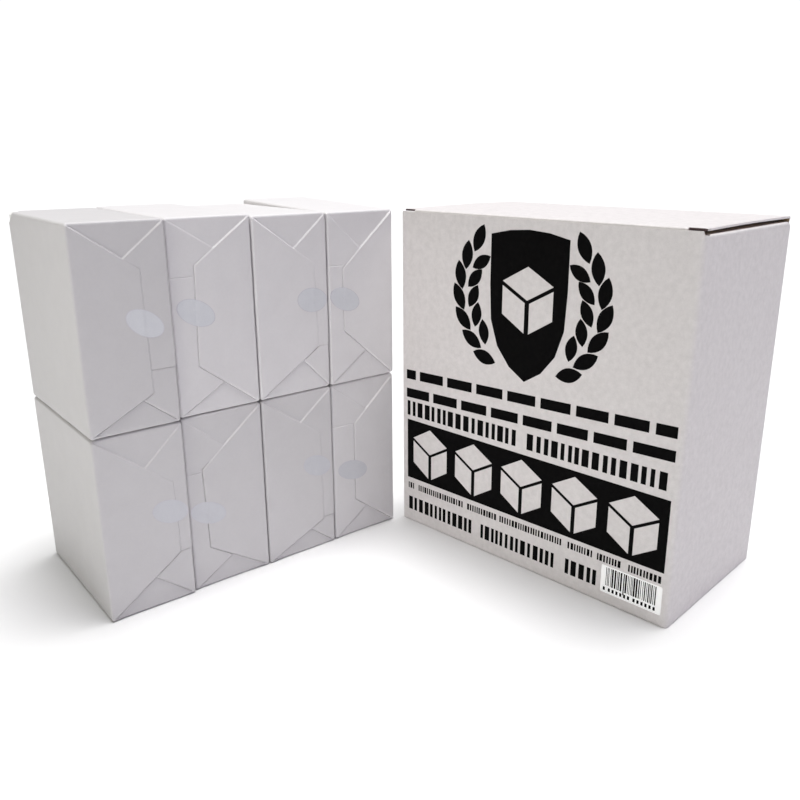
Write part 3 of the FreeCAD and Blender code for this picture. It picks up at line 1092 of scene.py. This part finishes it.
def bar(x0, x1, low, high, slope):
    """A plain upright block whose ends follow a line of print that climbs a little."""
    return [
        (x0, low + slope * x0),
        (x1, low + slope * x1),
        (x1, high + slope * x1),
        (x0, high + slope * x0),
    ]


def leaf(cx, cz, angle, length, width, count=9):
    """A pointed leaf outline about its middle, turned by that many degrees."""
    c, s = math.cos(math.radians(angle)), math.sin(math.radians(angle))
    along = [length * (i / count - 0.5) for i in range(count + 1)]
    half = [width / 2 * math.sin(math.pi * i / count) ** 0.8 for i in range(count + 1)]
    rim = list(zip(along, half)) + [(a, -h) for a, h in list(zip(along, half))[-2:0:-1]]
    return [(cx + a * c - h * s, cz + a * s + h * c) for a, h in rim]


def cube_faces(x, z, wide, high, gap):
    """The three visible faces of a plain cube in outline, hexagon-wise, about (x, z)."""
    w, q, h = wide / 2, high / 4, high / 2
    top = [(x, z + h), (x + w, z + q), (x, z), (x - w, z + q)]
    right = [(x + gap, z - gap), (x + w, z + q - gap * 1.6), (x + w, z - q), (x + gap, z - h)]
    left = [(2 * x - a, b) for a, b in right]
    return [top, right, left[::-1]]


def make_emblem(build):
    """A plain shield with a chalk block in it, between two rows of leaves."""
    shield = [(EMBLEM_X + x, z) for x, z in HALF_SHIELD]
    shield += [(EMBLEM_X - x, z) for x, z in HALF_SHIELD[-2:0:-1]]
    ink(build, shield, cube_faces(EMBLEM_X, EMBLEM_CUBE_Z, 25.0, 27.5, 1.1))
    for side in (-1, 1):
        for reach, first, step, count, lean, long, wide in LEAF_ROWS:
            for k in range(count):
                swing = math.radians(first + step * k)
                x = EMBLEM_X + side * (reach + 1.6 * math.sin(swing)) * math.cos(swing)
                z = LEAVES_Z + reach * 0.92 * math.sin(swing)
                angle = math.degrees(swing) + 90 + lean
                ink(build, leaf(x, z, angle if side > 0 else 180 - angle, long, wide))


def make_band(build):
    """The wide dark band, with five plain pale chalk blocks left out of it."""
    holes = []
    for i in range(5):
        holes.extend(cube_faces(18.6 + i * 26.7, 38.0, 21.5, 25.0, 0.9))
    ink(build, BAND, holes)


def stroke_row(build, x0, x1, low, high, slope, words, stroke, seed):
    """A line of print as plain upright strokes, in groups as long as its words."""
    draw = random.Random(seed)
    space = stroke * 2.4
    unit = (x1 - x0 - space * (len(words) - 1)) / sum(words)
    x = x0
    for count in words:
        end = x + unit * count
        while x < end - stroke * 1.05:
            w = stroke * draw.choice((0.85, 1.0, 1.5))
            ink(build, bar(x, min(x + w, end), low, high, slope))
            x += w + stroke * draw.uniform(0.55, 0.9)
        x = end + space


def double_stripe(build, x0, x1, low, high, slope, count, space):
    """A bold line as two broken stripes, their breaks staggered."""
    unit = (x1 - x0) / count
    thick = (high - low) * 0.33
    for base, first in ((low, unit), (high - thick, unit / 2)):
        x = x0
        step = first
        while x < x1 - 1.0:
            end = min(x + step, x1)
            stop = end - space if end < x1 else end
            ink(build, bar(x, stop, base, base + thick, slope))
            x = end
            step = unit


def make_print():
    """All printing on the front wall, as one thin layer of ink."""
    build = Builder()
    make_emblem(build)
    double_stripe(build, 3.5, 140.0, 64.0, 77.6, 0.03, 8, 2.6)
    stroke_row(build, 4.0, 139.5, 55.2, 62.4, 0.008, (9, 9), 2.1, 3)
    make_band(build)
    stroke_row(build, 4.5, 139.7, 17.4, 20.4, 0.006, (2, 12, 7, 14, 5, 5, 6), 0.8, 4)
    stroke_row(build, 4.8, 112.0, 6.2, 13.0, 0.0, (8, 8, 3), 1.7, 5)
    piece = build.piece("front_print", IN_CARTON, INK)
    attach(piece, "carton")


LABEL_CORNER = 0.6
LABEL_BACK = 0.01
LABEL_BLOCKS = 13
LABEL_INK = 0.02


def make_label():
    """The pale label with a row of plain upright bars over a row of small blocks."""
    box = local_box(["barcode_label"], CARTON_AXES)
    x0, x1 = (corner[0] - carton_low[0] for corner in box)
    z0, z1 = (corner[2] - carton_low[2] for corner in box)
    near = box[0][1] - carton_low[1]
    corners, _ = rounded_loop(x1 - x0, z1 - z0, LABEL_CORNER, x1 - x0, 4)
    build = Builder()
    build.prism([[(x0 + x, z0 + z) for x, z in corners]], near, LABEL_BACK)
    piece = build.piece("label_sheet", IN_CARTON, LABEL)
    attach(piece, "carton")
    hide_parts("barcode_label")
    bars = Builder()
    draw = random.Random(8)
    x = x0 + 2.2
    while x < x1 - 2.4:
        w = draw.choice((0.28, 0.28, 0.5, 0.75))
        foot = z0 + (2.0 if draw.random() < 0.12 else 3.3)
        bars.prism([bar(x, x + w, foot, z1 - 0.5, 0.0)], near - LABEL_INK, near + LABEL_INK)
        x += w + draw.choice((0.28, 0.4, 0.6))
    for k in range(LABEL_BLOCKS):
        x = x0 + 1.2 + k * 1.72 + (0.6 if k else 0.0) + (0.7 if k > 6 else 0.0)
        small = bar(x, x + 0.95, z0 + 0.9, z0 + 2.5, 0.0)
        bars.prism([small], near - LABEL_INK, near + LABEL_INK)
    piece = bars.piece("label_bars", IN_CARTON, INK)
    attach(piece, "carton")


make_print()
make_label()

# ---------------------------------------------------------------- floor, light, camera
FLOOR_SIZE = 8.0
FLOOR_TONE = 0.86
ROOM_LIGHT = 0.05
BACKDROP = 1.05
bpy.ops.mesh.primitive_plane_add(size=FLOOR_SIZE, location=(0, 0, 0))
floor = bpy.context.object
floor.name = "floor"
floor_mat, _, floor_shader = new_material("floor_pale", 0.9, 0.1)
floor_shader.inputs["Base Color"].default_value = (FLOOR_TONE, FLOOR_TONE, FLOOR_TONE, 1)
floor.data.materials.append(floor_mat)

scene = bpy.context.scene
scene.view_settings.view_transform = "Standard"
world = bpy.data.worlds.new("studio")
scene.world = world
world.use_nodes = True
tree = world.node_tree
background = tree.nodes["Background"]
backdrop = tree.nodes.new("ShaderNodeBackground")
for node, strength in ((background, ROOM_LIGHT), (backdrop, BACKDROP)):
    node.inputs["Color"].default_value = (1, 1, 1, 1)
    node.inputs["Strength"].default_value = strength
path = tree.nodes.new("ShaderNodeLightPath")
mix = tree.nodes.new("ShaderNodeMixShader")
link(tree, path.outputs["Is Camera Ray"], mix.inputs["Fac"])
link(tree, background.outputs["Background"], mix.inputs[1])
link(tree, backdrop.outputs["Background"], mix.inputs[2])
link(tree, mix.outputs["Shader"], tree.nodes["World Output"].inputs["Surface"])


def add_light(name, kind, energy, towards, colour):
    """A light that shines along a direction."""
    data = bpy.data.lights.new(name, kind)
    data.energy = energy
    data.color = colour
    lamp = bpy.data.objects.new(name, data)
    scene.collection.objects.link(lamp)
    lamp.rotation_mode = "QUATERNION"
    lamp.rotation_quaternion = Vector(towards).to_track_quat("-Z", "Y")
    return lamp


def add_sun(name, strength, angle, towards, colour):
    """A sun whose width is given in degrees."""
    lamp = add_light(name, "SUN", strength, towards, colour)
    lamp.data.angle = math.radians(angle)


add_sun("overhead", 3.78, 30, (-0.13, -0.08, -1.0), (1.0, 1.0, 1.0))
add_sun("left_fill", 0.47, 60, (0.7, 0.6, -0.5), (1.0, 1.0, 0.86))
add_sun("right_fill", 0.1, 60, (-0.65, 0.65, -0.5), (0.75, 0.5, 1.6))

# a narrow lamp that lights the valley between the stack and the carton
VALLEY_FROM = Vector((-0.42, -0.62, 0.42))
VALLEY_TO = Vector((-0.005, 0.0, 0.09))
valley = add_light("valley_fill", "SPOT", 7.0, VALLEY_TO - VALLEY_FROM, (1.0, 0.96, 0.88))
valley.location = VALLEY_FROM
valley.data.spot_size = math.radians(19)
valley.data.spot_blend = 1.0
valley.data.shadow_soft_size = 0.12

CAMERA_DOWN = 16.42
camera_data = bpy.data.cameras.new("camera")
camera = bpy.data.objects.new("camera", camera_data)
scene.collection.objects.link(camera)
camera.location = (0.00792, -0.34184, 0.1762)
camera.rotation_euler = (math.radians(90 - CAMERA_DOWN), 0, 0)
camera_data.lens = 35.42
camera_data.sensor_width = 36.0
camera_data.shift_x = -0.0212
camera_data.shift_y = -0.0191
camera_data.clip_start = 0.01
camera_data.clip_end = 50.0
scene.camera = camera

bpy.context.view_layer.update()
